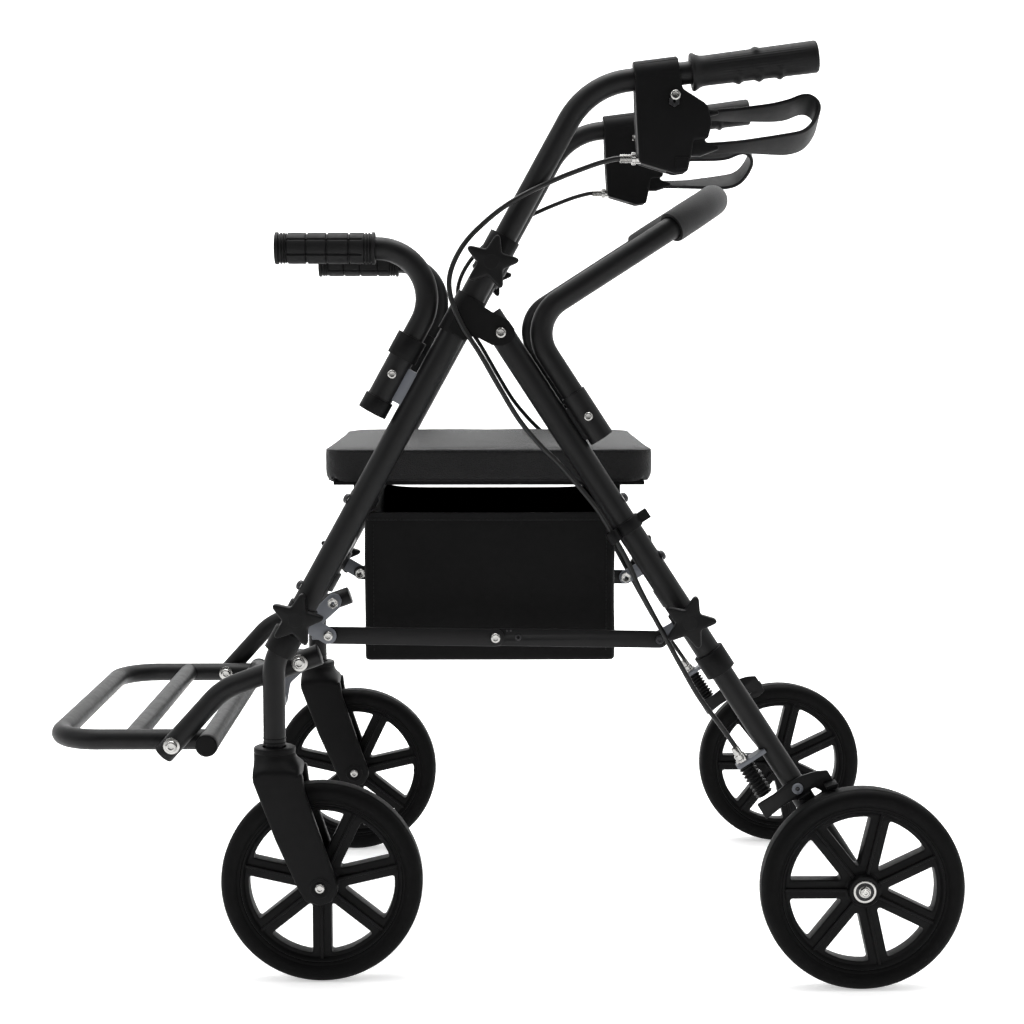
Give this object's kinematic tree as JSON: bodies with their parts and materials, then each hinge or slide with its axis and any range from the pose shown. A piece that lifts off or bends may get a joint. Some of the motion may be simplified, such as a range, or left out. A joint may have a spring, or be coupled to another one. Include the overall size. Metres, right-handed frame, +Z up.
{
  "type": "rollator transport chair",
  "caption": "Folding four-wheeled walker and transport chair with padded seat, backrest bar, armrests, swing-up footrest, loop hand brakes and under-seat bag.",
  "frame": {"origin": "centre of the bounding box's base, on the floor under the chair", "axes": "-X is the walking direction, +X the pusher's side, Y across the chair (left is -Y), +Z up"},
  "size_m": [0.918, 0.614, 0.9214],
  "materials": {
    "powder_coat": "satin powder coat",
    "plastic": "matte moulded",
    "steel": "zinc plated",
    "grey_steel": "grey coated steel",
    "lever_grey": "satin dark grey",
    "rubber": "matte rubber",
    "tyre": "matte tyre rubber",
    "leatherette": "grained synthetic leather",
    "bag_fabric": "coated woven polyester",
    "foam": "closed-cell foam skin",
    "cable": "smooth vinyl sleeve"
  },
  "bodies": {
    "front_frame": {"front_legs": "powder_coat", "pivot_brackets": "plastic", "pivot_bolts": "steel", "front_cross_tubes": "powder_coat", "front_screws": "plastic", "armrest_tubes": "powder_coat", "armrest_sockets": "powder_coat", "armrest_grips": "rubber", "front_collars": "plastic", "storage_bag": "bag_fabric", "front_link_brackets": "grey_steel", "brake_cables_upper": "cable", "brake_cables_middle": "cable"},
    "rear_frame": {"rear_legs": "powder_coat", "rear_cross_tubes": "powder_coat", "rear_leg_collars": "plastic", "rear_screws": "steel", "rear_link_brackets": "grey_steel", "backrest_tube": "powder_coat", "backrest_foam": "foam", "backrest_sockets": "powder_coat", "brake_cables_lower": "cable"},
    "side_link_front": {"side_links_front": "powder_coat"},
    "side_link_rear": {"side_links_rear": "powder_coat"},
    "seat": {"seat_base": "plastic", "seat_cushion": "leatherette"},
    "front_lower": {"front_lower_legs": "powder_coat", "footrest_brackets": "grey_steel"},
    "rear_lower": {"rear_lower_legs": "powder_coat", "rear_axles": "steel", "brake_brackets": "grey_steel", "brake_boots": "rubber"},
    "footrest_arm": {"footrest_arms": "powder_coat"},
    "foot_loop": {"footplate": "powder_coat"},
    "handle_left": {"handle_tube_left": "powder_coat", "hand_grip_left": "rubber", "brake_housing_left": "plastic"},
    "lever_left": {"brake_lever_left": "lever_grey"},
    "shoe_left": {"brake_arm_left": "grey_steel"},
    "fork_left": {"caster_fork_left": "plastic"},
    "front_wheel_left": {"front_rim_left": "plastic", "front_tyre_left": "tyre"},
    "rear_wheel_left": {"rear_rim_left": "plastic", "rear_tyre_left": "tyre"},
    "handle_clamp_left": {"handle_knob_left": "plastic"},
    "front_clamp_left": {"front_knob_left": "plastic"},
    "rear_clamp_left": {"rear_knob_left": "plastic"},
    "handle_right": {"handle_tube_right": "powder_coat", "hand_grip_right": "rubber", "brake_housing_right": "plastic"},
    "lever_right": {"brake_lever_right": "lever_grey"},
    "shoe_right": {"brake_arm_right": "grey_steel"},
    "fork_right": {"caster_fork_right": "plastic"},
    "front_wheel_right": {"front_rim_right": "plastic", "front_tyre_right": "tyre"},
    "rear_wheel_right": {"rear_rim_right": "plastic", "rear_tyre_right": "tyre"},
    "handle_clamp_right": {"handle_knob_right": "plastic"},
    "front_clamp_right": {"front_knob_right": "plastic"},
    "rear_clamp_right": {"rear_knob_right": "plastic"}
  },
  "joints": [
    {"name": "fold", "type": "hinge", "parent": "front_frame", "child": "rear_frame", "pos_m": [0.0049, 0, 0.64221], "axis": [0, 1, 0], "range_deg": [0, 32], "deforming": ["storage_bag", "brake_cables_middle", "brake_cables_upper", "brake_cables_lower"]},
    {"name": "link_front_fold", "type": "hinge", "parent": "front_frame", "child": "side_link_front", "pos_m": [-0.1648, 0, 0.3456], "axis": [0, -1, 0], "range_deg": [0, 46.92]},
    {"name": "link_rear_fold", "type": "hinge", "parent": "rear_frame", "child": "side_link_rear", "pos_m": [0.1618, 0, 0.3402], "axis": [0, 1, 0], "range_deg": [0, 47.81]},
    {"name": "seat_lift", "type": "hinge", "parent": "front_frame", "child": "seat", "pos_m": [-0.13363, 0, 0.47451], "axis": [0, -1, 0], "range_deg": [0, 60.5]},
    {"name": "front_leg_height", "type": "slide", "parent": "front_frame", "child": "front_lower", "axis": [-0.4818, 0, -0.8763], "range_m": [0, 0.05]},
    {"name": "rear_leg_height", "type": "slide", "parent": "rear_frame", "child": "rear_lower", "axis": [0.5468, 0, -0.8373], "range_m": [0, 0.05], "deforming": ["brake_cables_lower"]},
    {"name": "footrest_swing", "type": "hinge", "parent": "front_lower", "child": "footrest_arm", "pos_m": [-0.1955, 0, 0.3147], "axis": [0, 1, 0], "range_deg": [0, 76]},
    {"name": "foot_loop_fold", "type": "hinge", "parent": "footrest_arm", "child": "foot_loop", "pos_m": [-0.324, 0, 0.231], "axis": [0, 1, 0], "range_deg": [0, 80]},
    {"name": "handle_height_left", "type": "slide", "parent": "front_frame", "child": "handle_left", "axis": [0.4818, 0, 0.8763], "range_m": [-0.02, 0.08], "deforming": ["brake_cables_upper", "brake_cables_middle"]},
    {"name": "brake_lever_left", "type": "hinge", "parent": "handle_left", "child": "lever_left", "pos_m": [0.182, -0.252, 0.836], "axis": [0, -1, 0], "range_deg": [0, 7], "stiffness_Nm_per_rad": 1},
    {"name": "brake_shoe_left", "type": "hinge", "parent": "rear_lower", "child": "shoe_left", "pos_m": [0.29721, -0.265, 0.19461], "axis": [0, 1, 0], "range_deg": [0, 2.15], "deforming": ["brake_boots"]},
    {"name": "caster_swivel_left", "type": "hinge", "parent": "front_lower", "child": "fork_left", "pos_m": [-0.2188, -0.252, 0.26], "axis": [0, 0, 1], "continuous": true},
    {"name": "front_wheel_spin_left", "type": "hinge", "parent": "fork_left", "child": "front_wheel_left", "pos_m": [-0.1728, -0.252, 0.1], "axis": [0, 1, 0], "continuous": true},
    {"name": "rear_wheel_spin_left", "type": "hinge", "parent": "rear_lower", "child": "rear_wheel_left", "pos_m": [0.359, -0.284, 0.1], "axis": [0, 1, 0], "continuous": true},
    {"name": "handle_knob_left", "type": "hinge", "parent": "front_frame", "child": "handle_clamp_left", "pos_m": [-0.00442, -0.28, 0.70953], "axis": [0, 1, 0], "continuous": true},
    {"name": "front_knob_left", "type": "hinge", "parent": "front_frame", "child": "front_clamp_left", "pos_m": [-0.19332, -0.28, 0.36593], "axis": [0, 1, 0], "continuous": true},
    {"name": "rear_knob_left", "type": "hinge", "parent": "rear_frame", "child": "rear_clamp_left", "pos_m": [0.18753, -0.28, 0.36257], "axis": [0, 1, 0], "continuous": true},
    {"name": "handle_height_right", "type": "slide", "parent": "front_frame", "child": "handle_right", "axis": [0.4818, 0, 0.8763], "range_m": [-0.02, 0.08], "deforming": ["brake_cables_upper", "brake_cables_middle"]},
    {"name": "brake_lever_right", "type": "hinge", "parent": "handle_right", "child": "lever_right", "pos_m": [0.182, 0.252, 0.836], "axis": [0, -1, 0], "range_deg": [0, 7], "stiffness_Nm_per_rad": 1},
    {"name": "brake_shoe_right", "type": "hinge", "parent": "rear_lower", "child": "shoe_right", "pos_m": [0.29721, 0.265, 0.19461], "axis": [0, 1, 0], "range_deg": [0, 2.15], "deforming": ["brake_boots"]},
    {"name": "caster_swivel_right", "type": "hinge", "parent": "front_lower", "child": "fork_right", "pos_m": [-0.2188, 0.252, 0.26], "axis": [0, 0, 1], "continuous": true},
    {"name": "front_wheel_spin_right", "type": "hinge", "parent": "fork_right", "child": "front_wheel_right", "pos_m": [-0.1728, 0.252, 0.1], "axis": [0, 1, 0], "continuous": true},
    {"name": "rear_wheel_spin_right", "type": "hinge", "parent": "rear_lower", "child": "rear_wheel_right", "pos_m": [0.359, 0.284, 0.1], "axis": [0, 1, 0], "continuous": true},
    {"name": "handle_knob_right", "type": "hinge", "parent": "front_frame", "child": "handle_clamp_right", "pos_m": [-0.00442, 0.28, 0.70953], "axis": [0, 1, 0], "continuous": true},
    {"name": "front_knob_right", "type": "hinge", "parent": "front_frame", "child": "front_clamp_right", "pos_m": [-0.19332, 0.28, 0.36593], "axis": [0, 1, 0], "continuous": true},
    {"name": "rear_knob_right", "type": "hinge", "parent": "rear_frame", "child": "rear_clamp_right", "pos_m": [0.18753, 0.28, 0.36257], "axis": [0, 1, 0], "continuous": true}
  ],
  "couplings": [
    {"joint": "link_front_fold", "follows": "fold", "ratio": 1.4506},
    {"joint": "link_rear_fold", "follows": "fold", "ratio": 1.4785},
    {"joint": "seat_lift", "follows": "fold", "ratio": 1.875},
    {"joint": "brake_shoe_left", "follows": "brake_lever_left", "ratio": 0.3},
    {"joint": "brake_shoe_right", "follows": "brake_lever_right", "ratio": 0.3}
  ]
}
